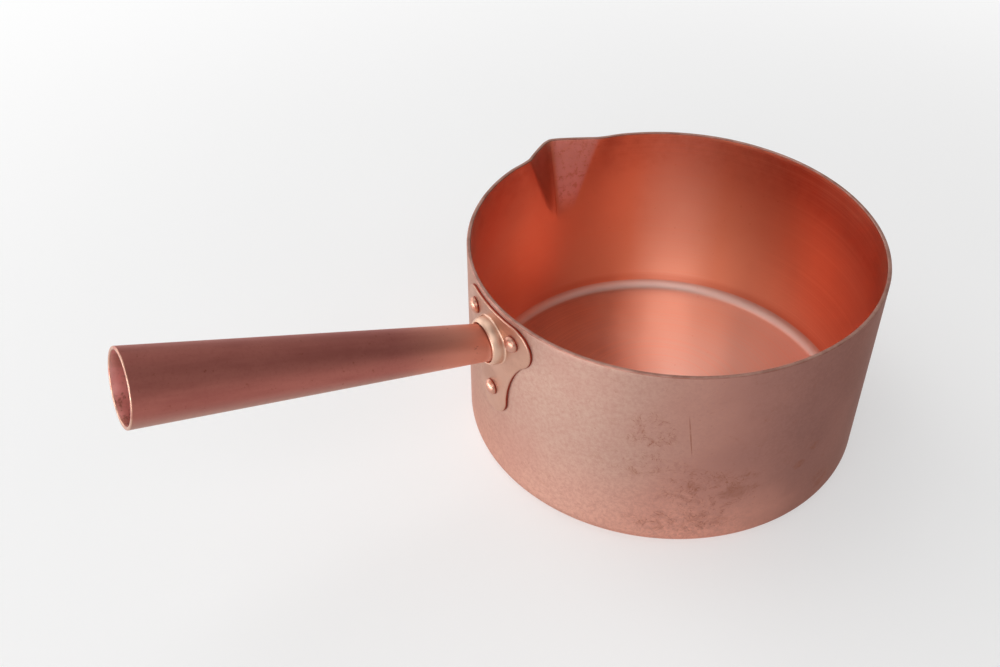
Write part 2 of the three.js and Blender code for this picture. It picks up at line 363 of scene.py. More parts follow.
def spread(start, end, step):
    """Even values from start to end, both included, no further apart than step."""
    count = max(1, math.ceil(abs(end - start) / step - 1e-9))
    return [start + (end - start) * i / count for i in range(count + 1)]


def full_turn(columns):
    """Even angles once round."""
    return [math.tau * i / columns for i in range(columns)]


def circle(radius, height, columns):
    """A ring of points round the Z axis, or the one point on it."""
    if radius == 0:
        return [(0, 0, height)]
    return [(radius * math.cos(t), radius * math.sin(t), height) for t in full_turn(columns)]


def skin(name, rings, slots, closed=False):
    """A mesh over rings of points. A ring of one point is a pole, and slots gives each band's material."""
    bm = bmesh.new()
    rows = [[bm.verts.new(p) for p in ring] for ring in rings]
    after = rows[1:] + rows[:1] if closed else rows[1:]
    for slot, low, high in zip(slots, rows, after):
        count = max(len(low), len(high))
        for i in range(count):
            j = (i + 1) % count
            corners = (low[i % len(low)], low[j % len(low)], high[j % len(high)], high[i % len(high)])
            face = bm.faces.new(list(dict.fromkeys(corners)))
            face.smooth = True
            face.material_index = slot
    bmesh.ops.recalc_face_normals(bm, faces=bm.faces)
    mesh = bpy.data.meshes.new(name)
    bm.to_mesh(mesh)
    bm.free()
    return mesh


def centre_sheen(mesh, height, size):
    """Makes the sheen turn round the mesh's own Z axis, although the mesh isn't even about it."""
    mesh.use_auto_texspace = False
    mesh.texspace_location = (0, 0, height)
    mesh.texspace_size = (size, size, size)


def add_piece(name, mesh, finishes, node, place=None):
    """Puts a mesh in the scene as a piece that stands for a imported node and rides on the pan."""
    piece = bpy.data.objects.new(name, mesh)
    for finish in finishes:
        mesh.materials.append(finish)
    bpy.context.scene.collection.objects.link(piece)
    if place:
        piece.matrix_world = place
    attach(piece, BODY)
    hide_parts(node)


# Bowl

LIP_PULL_ZONE = 3.0  # reach of the lip's pull on the wall, in widths of its far side
LIP_FINE_ZONE = 2.2  # reach of the close columns, in widths of its far side
LIP_FOOT_SOFT = 0.12  # share of the lip's depth over which its foot starts
LIP_ROOT_SHARE = 0.9  # where a side's slope is taken, as a share of the side
LIP_LEAST_SLOPE = 0.1  # least slope there, in bowl radii to the radian
LIP_SHOULDER_GROWTH = 3.0  # how fast the shoulders soften above the foot
LIP_DRAW_TURN = 0.05  # radians from the lip's root to where the rim is drawn in most
# Waves of the uneven wall: share, waves round the wall, radians to the metre of height, start in radians
WALL_WAVES = ((1.0, 3, 0, 0.7), (0.5, 5, 0, 2.1), (0.25, 9, 40, 0.4), (0.15, 17, -70, 0.0))


def lip_side(radius, tip, half, off):
    """Radius of the straight side that runs from the tip to the round wall at the half angle."""
    root_x = radius * math.cos(half)
    root_y = radius * math.sin(half)
    return tip * root_y / (root_y * math.cos(off) + (tip - root_x) * math.sin(off))


def lip_push(sizes, bearing, height):
    """How far the lip pushes the wall out. In plan each side of its V is straight."""
    radius = sizes.bowl_radius
    rise = smooth_ramp((height - sizes.bowl_height) / sizes.lip_depth + 1, LIP_FOOT_SOFT)
    turn = math.remainder(bearing - sizes.lip_bearing, math.tau)
    off = abs(turn)
    if rise <= 0 or off > LIP_PULL_ZONE * sizes.lip_far_width / radius:
        return 0.0
    foot = sizes.lip_near_foot if turn > 0 else sizes.lip_far_foot
    width = sizes.lip_near_width if turn > 0 else sizes.lip_far_width
    half = (foot + (width - foot) * rise) / radius
    tip = radius + sizes.lip_reach * rise
    soft_off = math.hypot(off, sizes.lip_crease / radius)
    if soft_off < half:
        stand = lip_side(radius, tip, half, soft_off) - radius
    else:
        by_root = LIP_ROOT_SHARE * half
        slope = (lip_side(radius, tip, half, by_root) - radius) / (half - by_root)
        stand = max(slope, LIP_LEAST_SLOPE * radius) * (half - soft_off)
    push = smooth_ramp(stand, sizes.lip_shoulder * min(1.0, LIP_SHOULDER_GROWTH * rise))
    beside = (off - half - LIP_DRAW_TURN) / LIP_DRAW_TURN
    return push - sizes.lip_draw * rise**3 * math.exp(-beside * beside)


def wall_wave(sizes, bearing, height):
    """The small unevenness of a wall shaped by hand, which grows towards the rim."""
    waves = 0.0
    for share, count, twist, start in WALL_WAVES:
        waves += share * math.sin(count * bearing + twist * height + start)
    return sizes.wall_wave * height / sizes.bowl_height * waves


def bowl_profile(sizes):
    """Points from the base's middle, round the rim, to the floor's middle, and each band's material."""
    bend = sizes.base_bend
    centre = sizes.bowl_radius - bend
    inner = sizes.bowl_radius - sizes.sheet
    rim_low = sizes.bowl_height - sizes.rim_round
    across = spread(0, centre, BASE_ROW)
    up = spread(bend, rim_low, WALL_ROW)
    outside = [(r, 0) for r in across[:-1]]
    outside += arc(centre, bend, bend, -90, 0, BEND_STEPS)
    outside += [(sizes.bowl_radius, z) for z in up[1:]]
    rim = arc(sizes.bowl_radius - sizes.rim_round, rim_low, sizes.rim_round, 0, 90, ROUND_STEPS)[1:]
    rim += arc(inner + sizes.rim_round, rim_low, sizes.rim_round, 90, 180, ROUND_STEPS)
    inside = [(inner, z) for z in up[-2:0:-1]]
    inside += arc(centre, bend, bend - sizes.sheet, 0, -90, BEND_STEPS)
    inside += [(r, sizes.sheet) for r in across[-2::-1]]
    slots = [0] * (len(outside) - 1) + [1] * len(rim) + [2] * len(inside)
    return outside + rim + inside, slots


def bowl_columns(sizes):
    """Bearings round the wall, close together at the lip."""
    reach = LIP_FINE_ZONE * sizes.lip_far_width / sizes.bowl_radius
    near = spread(-reach, reach, LIP_TURN)
    far = spread(reach, math.tau - reach, WALL_TURN)[1:-1]
    return [sizes.lip_bearing + turn for turn in near + far]


def bowl_mesh(sizes):
    """The bowl as rings, from the middle of its base over the rim to the middle of its floor."""
    profile, slots = bowl_profile(sizes)
    columns = bowl_columns(sizes)
    rings = []
    for radius, height in profile:
        if radius == 0:
            rings.append([(0, 0, height)])
            continue
        ring = []
        for bearing in columns:
            out = radius + lip_push(sizes, bearing, height) + wall_wave(sizes, bearing, height)
            ring.append((out * math.cos(bearing), out * math.sin(bearing), height))
        rings.append(ring)
    mesh = skin("pan_body_skin", rings, slots)
    centre_sheen(mesh, sizes.bowl_height / 2, sizes.bowl_radius)
    return mesh


# Bearings on the bowl
SHADED_OUTER_SIDE = math.radians(120)  # where painted shade makes the outer wall browner and darkest, on the side away from the light
HIGHLIGHT_SIDE = math.radians(230)  # where the inner wall is palest, a painted highlight
SHADED_INNER_SIDE = math.radians(150)  # where painted shade makes the inner wall darkest
LIT_INNER_SIDE = math.radians(320)  # where the inner wall is painted lighter, as on a lit side
SHADED_FLOOR_SIDE = math.radians(330)  # where painted shade makes the floor darkest
# Brown clouds on the outer wall: bearing in degrees; height, half width and half depth in mm; strength
CLOUDS = (
    (49, 58, 12, 14, 0.8),
    (47, 42, 24, 9, 0.6),
    (66, 30, 24, 14, 0.9),
    (73, 27, 9, 5, 1.0),
    (60, 14, 30, 8, 0.8),
    (97, 37, 3.5, 2.5, 1.6),
    (92, 31, 4, 2.5, 1.3),
    (103, 14, 7, 6, 0.9),
)
# An upright scratch: bearing in degrees, then height, half width and half length in millimetres
SCRATCH = (58.8, 58, 0.35, 12)
SCRATCH_LEAN = 0.14
# Tint of the outer wall seen at a glancing angle, where bare metal would turn white
DULL_EDGE = (0.75, 0.60, 0.55)
LOW_REFLECTION_HEIGHT = 50 * MM  # height over which the painted reflection near the base fades
OUTSIDE_STRETCH = 0.15  # under 1, the outer wall's grain is drawn out round the wall
SMEAR_START = 0.60  # height where the smears start, as a share of the bowl's height
BEND_FADE_LOW = 0.5 * MM  # above the floor, where the painted highlight on the bend starts
BEND_FADE_HIGH = 1.0 * MM  # below the bend's top, where it ends
SHADE_START = 1.0 * MM  # above the bend's top, where the darker line over it fades
SHADE_END = 5.0 * MM  # above the bend's top, where it has gone
RIM_LINE = 0.7  # depth of the dark line along the rim's edges, in radii of the broken edge
LIP_REFLECTION_SOFT = 1.0 * MM  # softness at the edges of the painted reflection on the lip
LIP_REFLECTION_RISE = 0.35  # share of the lip's depth over which the painted reflection starts


def along_bearing(x, y, bearing):
    """Distance from the bowl's axis towards a bearing."""
    return x * math.cos(bearing) + y * math.sin(bearing)


def wall_patch(s, round_wall, z, radius, degrees, height, width, depth):
    """A soft oval on the wall, 1 in its middle and 0 outside."""
    across = (round_wall - math.radians(degrees) * radius) / (width * MM)
    up = (z - height * MM) / (depth * MM)
    return 1 - s.step(across * across + up * up, 0.0, 1.0)


def outside_copper(s, colours, radius):
    """Satin copper with mauve clouds, faint brown marks, hair lines, a scratch, specks and fine grain, with
    painted shade that browns and darkens the side away from the light, and a painted reflection of a warm
    floor near the base.
    """
    place = s.place()
    x, y, z = s.parts(place)
    bearing = s.add("ShaderNodeMath", {"operation": "ARCTAN2"}, {0: y, 1: x})
    round_wall = bearing * radius
    wall = s.vector(round_wall, z, 0.0)
    clouds = s.noise(place, 24, 4, 0.55)
    # Painted shade: browner, then darker, towards the side away from the light
    facing = along_bearing(x, y, SHADED_OUTER_SIDE) / radius + 0.5 * (clouds - 0.5)
    brown = s.step(facing, -0.17, 0.75)
    base = s.mix(brown, colours.outside, colours.outside_brown_shade)
    deep_shade = s.step(facing, 0.45, 1.0)
    base = s.mix(deep_shade, base, colours.outside_painted_shade)
    # Painted reflection of a warm floor near the base, fading with height
    low = 1 - s.step(z, 0.0, LOW_REFLECTION_HEIGHT)
    base = s.mix(low * (0.4 + 0.5 * brown - 0.8 * deep_shade), base, colours.outside_low_reflection)
    base = s.mix(s.step(clouds, 0.40, 0.72) * 0.35, base, colours.outside_dull)
    worn = 0.0
    for degrees, height, width, depth, strength in CLOUDS:
        worn = worn + strength * wall_patch(s, round_wall, z, radius, degrees, height, width, depth)
    blots = s.noise(place, 170, 6, 0.75, 0.8)
    stained = s.step(blots + 0.16 * worn, 0.54, 0.84)
    base = s.mix(stained * 0.45, base, colours.stain)
    wander = s.noise(wall, 150, 4, 0.6, 1.6)
    off_line = s.add("ShaderNodeMath", {"operation": "ABSOLUTE"}, {0: wander - 0.5})
    lines = 1 - s.step(off_line, 0.004, 0.02)
    base = s.mix(lines * s.step(worn, 0.15, 0.6) * s.step(blots, 0.4, 0.55) * 0.75, base, colours.stain)
    degrees, height, width, depth = SCRATCH
    broken = s.step(s.noise(place, 350, 2), 0.30, 0.52)
    leaning = round_wall + SCRATCH_LEAN * (z - height * MM)
    scratch = s.step(wall_patch(s, leaning, z, radius, degrees, height, width, depth), 0.1, 0.6) * broken
    base = s.mix(scratch * 0.65, base, colours.stain)
    specks = s.step(s.noise(place, 520, 3, 0.65), 0.66, 0.76)
    base = s.mix(specks * 0.5, base, colours.stain)
    mottle = s.noise(place, 620, 4, 0.8)
    base = s.mix(s.step(mottle, 0.36, 0.70) * (0.6 - 0.4 * deep_shade), base, colours.outside_dull)
    grain = s.noise(s.vector(round_wall * OUTSIDE_STRETCH, z, 0.0), 2600, 2)
    roughness = 0.42 + 0.10 * clouds + 0.08 * (grain - 0.5) + 0.05 * stained
    normal = s.bump(grain + 0.6 * s.noise(wall, 900, 2), GRAIN_DEPTH)
    s.copper(base, roughness, normal, anisotropy=0.3, turn=BOWL_SHEEN, edge=DULL_EDGE)


def lip_far_side(s, x, y, z, sizes):
    """1 on the lip's wide side and 0 beyond it."""
    out = Vector((math.cos(sizes.lip_bearing), math.sin(sizes.lip_bearing)))
    across = x * out.y - y * out.x
    rise = (z - sizes.bowl_height) / sizes.lip_depth + 1
    start = across - 0.5 * sizes.lip_crease
    end = across - (sizes.lip_far_foot + (sizes.lip_far_width - sizes.lip_far_foot) * rise)
    soft = LIP_REFLECTION_SOFT
    side = s.step(start, -soft, soft) * (1 - s.step(end, -soft, soft))
    lip_half = s.step(along_bearing(x, y, sizes.lip_bearing), 0.0, sizes.bowl_radius / 2)
    return side * lip_half * s.step(rise, 0.0, LIP_REFLECTION_RISE)


def inside_copper(s, colours, sizes):
    """Turned copper: rings, smears below the rim and specks, with painted highlights on the far wall and the
    bend, painted reflections on the lip's wide side and the redder sides, painted shade on one side of the
    wall and of the floor, and one side painted lighter.
    """
    place = s.place()
    x, y, z = s.parts(place)

    def facing(bearing):
        return along_bearing(x, y, bearing) / sizes.bowl_radius

    across = s.size(s.vector(x, y, 0.0))
    rings = s.noise(s.vector(across, z, 0.0), 1500, 3, 0.6)
    clouds = s.noise(place, 26, 3, 0.5)
    below_rim = s.step(z, sizes.bowl_height * SMEAR_START, sizes.bowl_height)
    blots = s.noise(place, 110, 6, 0.7)
    smears = s.step(blots + 0.20 * below_rim, 0.52, 0.92) * below_rim
    # The lip's wide side, which carries a painted reflection
    reflecting_lip_face = lip_far_side(s, x, y, z, sizes)
    flat = 1 - s.step(z, sizes.sheet, sizes.base_bend)
    # Painted highlight: the far wall stays pale
    far = s.step(facing(HIGHLIGHT_SIDE), 0.94, 1.0)
    # Painted shade on one side of the inner wall
    inner_shade = s.step(facing(SHADED_INNER_SIDE), 0.45, 0.95)
    # Painted light: this side of the inner wall is lighter and warmer, with less painted shade
    painted_lit_side = s.step(facing(LIT_INNER_SIDE), 0.5, 0.9)
    # Painted shade on one side of the bowl's floor
    inner_floor_shade = s.step(facing(SHADED_FLOOR_SIDE) + 0.4 * (clouds - 0.5), -0.1, 0.5)
    base = s.mix(s.step(clouds, 0.45, 0.75) * 0.12, colours.inside, colours.inside_dull_and_shade)
    base = s.mix(flat, base, colours.inside_floor)
    # Painted reflection: the sides redder, as light bounced between copper walls; also redder in the painted
    # shade on the floor
    red = (1 - far) * (1 - flat) * (1 - 0.7 * painted_lit_side) + 0.4 * inner_floor_shade * flat
    base = s.mix(0.85 * red, base, colours.inside_rings_and_reflected_red)
    # Painted reflection on the lip's wide side
    base = s.mix(reflecting_lip_face, base, colours.lip)
    # Painted shade on one side of the wall and of the floor, with real smears; the wall is also made darker
    # towards the rim
    tarnish = 0.7 * inner_shade * (1 - flat) + 0.5 * inner_floor_shade * flat + 0.3 * smears
    tarnish = tarnish + 0.5 * below_rim * (1 - 0.6 * painted_lit_side)
    base = s.mix(tarnish * (1 - 0.3 * reflecting_lip_face), base, colours.inside_dull_and_shade)
    # Painted shade on one side of the floor
    base = s.mix(0.4 * inner_floor_shade * flat, base, colours.tarnish)
    base = s.mix(s.step(rings, 0.4, 0.75) * 0.25, base, colours.inside_rings_and_reflected_red)
    top = sizes.base_bend
    # Painted highlight on the bend round the floor, less on the side painted lighter
    above_bend = s.step(z, top - BEND_FADE_HIGH, top)
    bend = s.step(z, sizes.sheet, sizes.sheet + BEND_FADE_LOW) * (1 - above_bend)
    base = s.mix(bend * (0.8 - 0.4 * painted_lit_side), base, colours.inside_bend_highlight)
    shadow_line = above_bend * (1 - s.step(z, top + SHADE_START, top + SHADE_END))
    base = s.mix(shadow_line * (0.35 - 0.35 * painted_lit_side), base, colours.inside_dull_and_shade)
    specks = s.step(s.noise(place, 460, 2, 0.6), 0.70, 0.78)
    base = s.mix(specks * (0.25 + 0.4 * below_rim), base, colours.inside_dull_and_shade)
    marks = s.step(s.noise(place, 420, 5, 0.75), 0.50, 0.64) * reflecting_lip_face
    base = s.mix(marks * 0.6, base, colours.inside_dull_and_shade)
    grain = s.noise(place, 1500, 2)
    roughness = 0.33 + 0.03 * flat + 0.04 * clouds + 0.06 * (rings - 0.5)
    roughness = roughness + 0.08 * smears + 0.17 * reflecting_lip_face + 0.14 * bend
    normal = s.bump(rings + 0.7 * grain, RING_DEPTH)
    s.copper(base, roughness, normal, anisotropy=0.65, turn=BOWL_SHEEN)


def rim_copper(s, colours, sizes):
    """Worn rim, clouded with brown, with dark tarnish in a line along each edge."""
    place = s.place()
    wear = s.noise(place, 110, 5, 0.65)
    base = s.mix(s.step(wear, 0.35, 0.75), colours.rim, colours.rim_dull)
    height = s.parts(place)[2]
    edges = 1 - s.step(height, sizes.bowl_height - RIM_LINE * sizes.rim_round, sizes.bowl_height)
    base = s.mix(edges * (0.3 + 0.6 * wear), base, colours.tarnish)
    s.copper(base, 0.46 + 0.12 * wear, s.bump(s.noise(place, 1800, 2), GRAIN_DEPTH))


# Handle plate

LOBE_END = -52  # degrees, where a lobe's arc ends and the hollow side starts
SIDE_LEAVE = 0.25  # pull of the lobe on the hollow side, as a share of the side's height
SIDE_MEET = 0.37  # pull of the tail on the hollow side, likewise
FACE_INSET = 1.6  # from the outline to the end of the flat face, in radii of the rounded edge
BACK_BREAK = 0.1 * MM  # broken edge at the plate's back
BORE_ROUND = 0.35 * MM  # rounded edge of the collar's bore
BORE_FRONT = 1.0 * MM  # from the collar's face back to the end of the plain bore
COLLAR_FRONT = 78  # degrees, where the collar's rounded front starts
FLANGE_SIDE_ROOM = 0.3 * MM  # room round the tube's flange
FLANGE_FACE_ROOM = 0.5 * MM  # room over the tube's flange


def plate_outline(sizes):
    """Outline of the plate, across and up: two lobes, hollow sides and a round tail."""
    top = PLATE_HIGH.z
    lobe_across = PLATE_HIGH.y - sizes.lobe_radius
    lobe_height = top - sizes.lobe_radius
    tail_height = PLATE_LOW.z + sizes.tail_radius
    lobe = arc(lobe_across, lobe_height, sizes.lobe_radius, 90, LOBE_END, OUTLINE_STEPS)
    start = Vector(lobe[-1])
    waist = start.y - tail_height
    away = math.radians(LOBE_END)
    leave = start + Vector((math.sin(away), -math.cos(away))) * SIDE_LEAVE * waist
    meet = Vector((sizes.tail_radius, tail_height))
    arrive = meet + Vector((0, SIDE_MEET * waist))
    side = []
    for i in range(1, OUTLINE_STEPS + 1):
        t = i / OUTLINE_STEPS
        u = 1 - t
        p = start * u**3 + leave * 3 * u * u * t + arrive * 3 * u * t * t + meet * t**3
        side.append((p.x, p.y))
    tail = arc(0, tail_height, sizes.tail_radius, 0, -90, OUTLINE_STEPS // 2)[1:]
    top_edge = [(across, top) for across in spread(0, lobe_across, PLATE_TOP_STEP)[:-1]]
    half = top_edge + lobe + side + tail
    mirrored = [(-across, up) for across, up in reversed(half[1:-1])]
    return half + mirrored


def inward(outline):
    """Unit normals of an outline, pointing into it."""
    normals = []
    count = len(outline)
    for i in range(count):
        before = Vector(outline[i - 1])
        after = Vector(outline[(i + 1) % count])
        along = (after - before).normalized()
        normals.append(Vector((along.y, -along.x)))
    return normals


def plate_mesh(sizes):
    """The plate and its collar as rings: the bore, the collar, the face, the edge and the back."""
    outline = [Vector(p) for p in plate_outline(sizes)]
    normals = inward(outline)
    middle = sizes.bowl_height - sizes.handle_below_rim
    turns = [math.atan2(p.y - middle, p.x) for p in outline]
    rise = math.tan(sizes.handle_tilt)
    edge = sizes.plate_edge

    def wall_at(radius, across):
        return math.sqrt(radius * radius - across * across)

    def round_ring(radius, depth):
        return [(depth, radius * math.cos(t), middle + radius * math.sin(t)) for t in turns]

    def bore_ring(depth, grown=0.0):
        radius = sizes.handle_root + sizes.collar_gap + grown
        centre = middle + (depth - sizes.collar_face) * rise
        tall = radius / math.cos(sizes.handle_tilt)
        return [(depth, radius * math.cos(t), centre + tall * math.sin(t)) for t in turns]

    def outline_ring(inset, radius):
        points = [p + n * inset for p, n in zip(outline, normals)]
        return [(wall_at(radius, p.x), p.x, p.y) for p in points]

    # Bore and collar
    room_side = sizes.handle_root + sizes.flange_overhang + FLANGE_SIDE_ROOM
    room_top = sizes.plate_back + sizes.flange_thickness + FLANGE_FACE_ROOM
    rings = [bore_ring(room_top), bore_ring(sizes.collar_face - BORE_FRONT)]
    for grown, depth in arc(BORE_ROUND, sizes.collar_face - BORE_ROUND, BORE_ROUND, 180, 90, ROUND_STEPS):
        rings.append(bore_ring(depth, grown))
    for out, up in arc(0, 0, 1, COLLAR_FRONT, 0, BEND_STEPS):
        radius = sizes.collar_radius - sizes.collar_round * (1 - out)
        rings.append(round_ring(radius, sizes.collar_face - sizes.collar_crown * (1 - up)))
    foot = sizes.collar_radius + sizes.collar_foot
    for radius, depth in arc(foot, sizes.collar_foot, sizes.collar_foot, 180, 270, ROUND_STEPS):
        ring = round_ring(radius, 0)
        rings.append([(wall_at(sizes.plate_face, y) + depth, y, z) for _, y, z in ring])
    foot_ring = rings[-1]
    collar_bands = len(rings) - 2  # all but the last band of the foot

    # Face, edge and back
    face_edge = outline_ring(edge * FACE_INSET, sizes.plate_face)
    for i in range(1, PLATE_ROWS):
        share = i / PLATE_ROWS
        ring = []
        for near, far in zip(foot_ring, face_edge):
            y = near[1] + (far[1] - near[1]) * share
            z = near[2] + (far[2] - near[2]) * share
            ring.append((wall_at(sizes.plate_face, y), y, z))
        rings.append(ring)
    rings.append(face_edge)
    for inset, depth in arc(edge, sizes.plate_face - edge, edge, 90, 180, ROUND_STEPS + 1):
        rings.append(outline_ring(inset, depth))
    side_band = len(rings) - 1
    rings.append(outline_ring(0, sizes.plate_back + BACK_BREAK))
    rings.append(outline_ring(BACK_BREAK, sizes.plate_back))
    back = round_ring(room_side, 0)
    rings.append([(wall_at(sizes.plate_back, y), y, z) for _, y, z in back])
    rings.append(round_ring(room_side, room_top))
    slots = [1] * collar_bands + [0] * (len(rings) - collar_bands)
    # The plate's thin side gets the tarnish and painted shade of the seams
    slots[side_band] = 2
    return skin("handle_plate_skin", rings, slots, closed=True)


def plate_copper(s, colours):
    """Satin copper with soft clouds, specks and fine grain."""
    place = s.place()
    clouds = s.noise(place, 70, 4, 0.55)
    base = s.mix(s.step(clouds, 0.42, 0.75), colours.plate, colours.plate_dull)
    specks = s.step(s.noise(place, 900, 1), 0.68, 0.78)
    base = s.mix(specks * 0.3, base, colours.stain)
    grain = s.noise(place, 2400, 2)
    s.copper(base, 0.36 + 0.12 * clouds + 0.06 * (grain - 0.5), s.bump(grain, PLATE_GRAIN_DEPTH))


def collar_copper(s, colours):
    """Golden, smooth copper on the collar, lightened in part as a painted highlight."""
    place = s.place()
    clouds = s.noise(place, 120, 3, 0.5)
    base = s.mix(0.5 * s.step(clouds, 0.45, 0.75), colours.collar, colours.plate)
    s.copper(base, 0.42 + 0.1 * clouds, s.bump(s.noise(place, 1600, 2), COLLAR_GRAIN_DEPTH))


def seam_shade_copper(s, colours):
    """Dark red tarnish and painted shade in the seams round the plate and the rivets."""
    place = s.place()
    patches = s.noise(place, 300, 3, 0.6)
    base = s.mix(s.step(patches, 0.35, 0.7) * 0.3, colours.seam, colours.rim_dull)
    s.copper(base, 0.45 + 0.15 * patches, s.bump(s.noise(place, 1800, 2), GRAIN_DEPTH))


# Handle tube

TUBE_START = 2 * MM  # first plain ring, from the collar's face
FLANGE_BANDS = 3  # back, rim and face of the turned-out end
COLLAR_REFLECTION_START = 6 * MM  # where the painted reflection of the collar starts to fade
COLLAR_REFLECTION_END = 42 * MM  # where it has gone
BORE_LOW = -11 * MM  # height in the bore where dirt lies thickest
# Under 1, these draw the marks out along the tube
STREAK_STRETCH = 0.10
BAND_STRETCH = 0.15
TUBE_GRAIN_STRETCH = 0.05


def tube_frame(sizes):
    """Place of the tube: its axis is the piece's own +Z, from the collar's face."""
    along = Vector((math.cos(sizes.handle_tilt), 0, math.sin(sizes.handle_tilt)))
    across = Vector((0, 1, 0))
    up = along.cross(across)
    turn = Matrix((across, up, along)).transposed().to_4x4()
    start = Vector((sizes.collar_face, 0, sizes.bowl_height - sizes.handle_below_rim))
    return Matrix.Translation(start) @ turn


def tube_length(sizes):
    """From the collar's face to the mouth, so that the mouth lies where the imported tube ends."""
    drop = sizes.handle_mouth * math.sin(sizes.handle_tilt)
    return (TUBE_HIGH.x - sizes.collar_face - drop) / math.cos(sizes.handle_tilt)


def tube_taper(sizes):
    """Growth of the tube's radius along its length."""
    return (sizes.handle_mouth - sizes.handle_root) / tube_length(sizes)


def tube_mesh(sizes):
    """The tube as rings, from its flange out to the mouth and back through the bore."""
    total = tube_length(sizes)
    taper = tube_taper(sizes)
    tilt = sizes.handle_tilt
    place = tube_frame(sizes)
    back = place.inverted()
    turns = full_turn(TUBE_COLUMNS)
    flange_back = TUBE_LOW.x
    flange_face = flange_back + sizes.flange_thickness
    flange_radius = sizes.handle_root + sizes.flange_overhang
    flange_middle = place.translation.z - (sizes.collar_face - flange_face) * math.tan(tilt) / 2

    def ring_at(radius, station):
        """A ring across the tube, which leans more the nearer it is to the mouth."""
        lean = sizes.mouth_lean * station / total
        return [
            Vector((radius * math.cos(t), radius * math.sin(t), station + lean * math.sin(t)))
            for t in turns
        ]

    def upright_ring(inset, depth):
        """The ring where the tube's surface meets an upright plane across the handle."""
        ring = []
        for t in turns:
            lift = math.sin(t) * math.sin(tilt)
            reach = depth - sizes.collar_face + (sizes.handle_root - inset) * lift
            station = reach / (math.cos(tilt) - taper * lift)
            radius = sizes.handle_root + taper * station - inset
            ring.append(Vector((radius * math.cos(t), radius * math.sin(t), station)))
        return ring

    def flange_ring(depth):
        points = []
        for t in turns:
            world = Vector((depth, flange_radius * math.cos(t), flange_middle + flange_radius * math.sin(t)))
            points.append(back @ world)
        return points

    stations = spread(TUBE_START, total - sizes.mouth_round, (total - TUBE_START) / TUBE_ROWS)
    rings = [upright_ring(0, flange_face)]
    rings += [ring_at(sizes.handle_root + taper * s, s) for s in stations]
    outer_bands = len(rings) - 1
    broken = sizes.mouth_round
    outer = sizes.handle_mouth
    inner = outer - sizes.handle_wall
    mouth = arc(outer - broken, total - broken, broken, 0, 90, ROUND_STEPS)[1:]
    mouth += arc(inner + broken, total - broken, broken, 90, 180, ROUND_STEPS)
    rings += [ring_at(radius, station) for radius, station in mouth]
    edge_bands = len(rings) - 1 - outer_bands
    rings += [ring_at(sizes.handle_root + taper * s - sizes.handle_wall, s) for s in stations[-2::-1]]
    rings.append(upright_ring(sizes.handle_wall, flange_back))
    bore_bands = len(rings) - 1 - outer_bands - edge_bands
    rings.append(flange_ring(flange_back))
    rings.append(flange_ring(flange_face))
    slots = [0] * outer_bands + [1] * edge_bands + [2] * bore_bands + [0] * FLANGE_BANDS
    mesh = skin("handle_tube_skin", rings, slots, closed=True)
    centre_sheen(mesh, total / 2, total)
    return mesh


def handle_copper(s, colours, sizes):
    """Dulled copper drawn along the tube: streaks, tonal bands, mottling and dark specks, with a painted
    reflection of the collar near it and of the floor on the underside.
    """
    place = s.place()
    x, y, z = s.parts(place)
    streaks = s.noise(s.vector(x, y, z * STREAK_STRETCH), 300, 4, 0.6)
    bands = s.noise(s.vector(x, y, z * BAND_STRETCH), 75, 2, 0.5)
    clouds = s.noise(place, 60, 3, 0.6)
    tone = 0.35 * streaks + 0.35 * bands + 0.3 * clouds
    base = s.mix(s.step(tone, 0.40, 0.62) * 0.7, colours.handle, colours.handle_dull)
    mottle = s.noise(place, 900, 3, 0.65)
    base = s.mix(s.step(mottle, 0.45, 0.72) * 0.35, base, colours.handle_dull)
    # Painted reflection of the floor on the underside of the tube
    height = y / (sizes.handle_root + tube_taper(sizes) * z)
    base = s.mix(0.75 - 0.75 * s.step(height, -0.75, 0.0), base, colours.handle_floor_reflection)
    # Painted reflection of the collar on the tube near it
    base = s.mix(0.85 - 0.85 * s.step(z, COLLAR_REFLECTION_START, COLLAR_REFLECTION_END), base, colours.handle_collar_reflection)
    specks = s.step(s.noise(place, 520, 3, 0.65), 0.64, 0.74)
    base = s.mix(specks * 0.6, base, colours.tarnish)
    grain = s.noise(s.vector(x, y, z * TUBE_GRAIN_STRETCH), 2400, 2)
    roughness = 0.47 + 0.12 * bands + 0.06 * (streaks - 0.5)
    s.copper(base, roughness, s.bump(grain, GRAIN_DEPTH), anisotropy=0.35)


def bore_copper(s, colours):
    """Smoother copper inside the tube, speckled with dirt at the bottom."""
    place = s.place()
    clouds = s.noise(place, 80, 4, 0.6)
    base = s.mix(s.step(clouds, 0.4, 0.7), colours.bore, colours.rivet)
    low = s.step(s.parts(place)[1], 0.0, BORE_LOW)
    dirt = s.step(s.noise(place, 380, 4, 0.7) + 0.14 * low, 0.64, 0.76)
    base = s.mix(dirt * 0.7, base, colours.rim_dull)
    s.copper(base, 0.34 + 0.16 * clouds, s.bump(s.noise(place, 1500, 2), GRAIN_DEPTH))


def edge_copper(s, colours):
    """Freshly worn copper on the tube's open end."""
    place = s.place()
    wear = s.noise(place, 260, 3, 0.6)
    base = s.mix(s.step(wear, 0.45, 0.7), colours.plate, colours.handle)
    s.copper(base, 0.3 + 0.15 * wear, s.bump(s.noise(place, 1800, 2), GRAIN_DEPTH))


# Rivets

DOME_SKIRT = 0.18  # upright part of a rivet's head, as a share of its height
DOME_FULLNESS = 0.92  # under 1, the dome is fuller than a half ellipse
SEAM_BANDS = 5  # skirt, seat, shank, seat and skirt


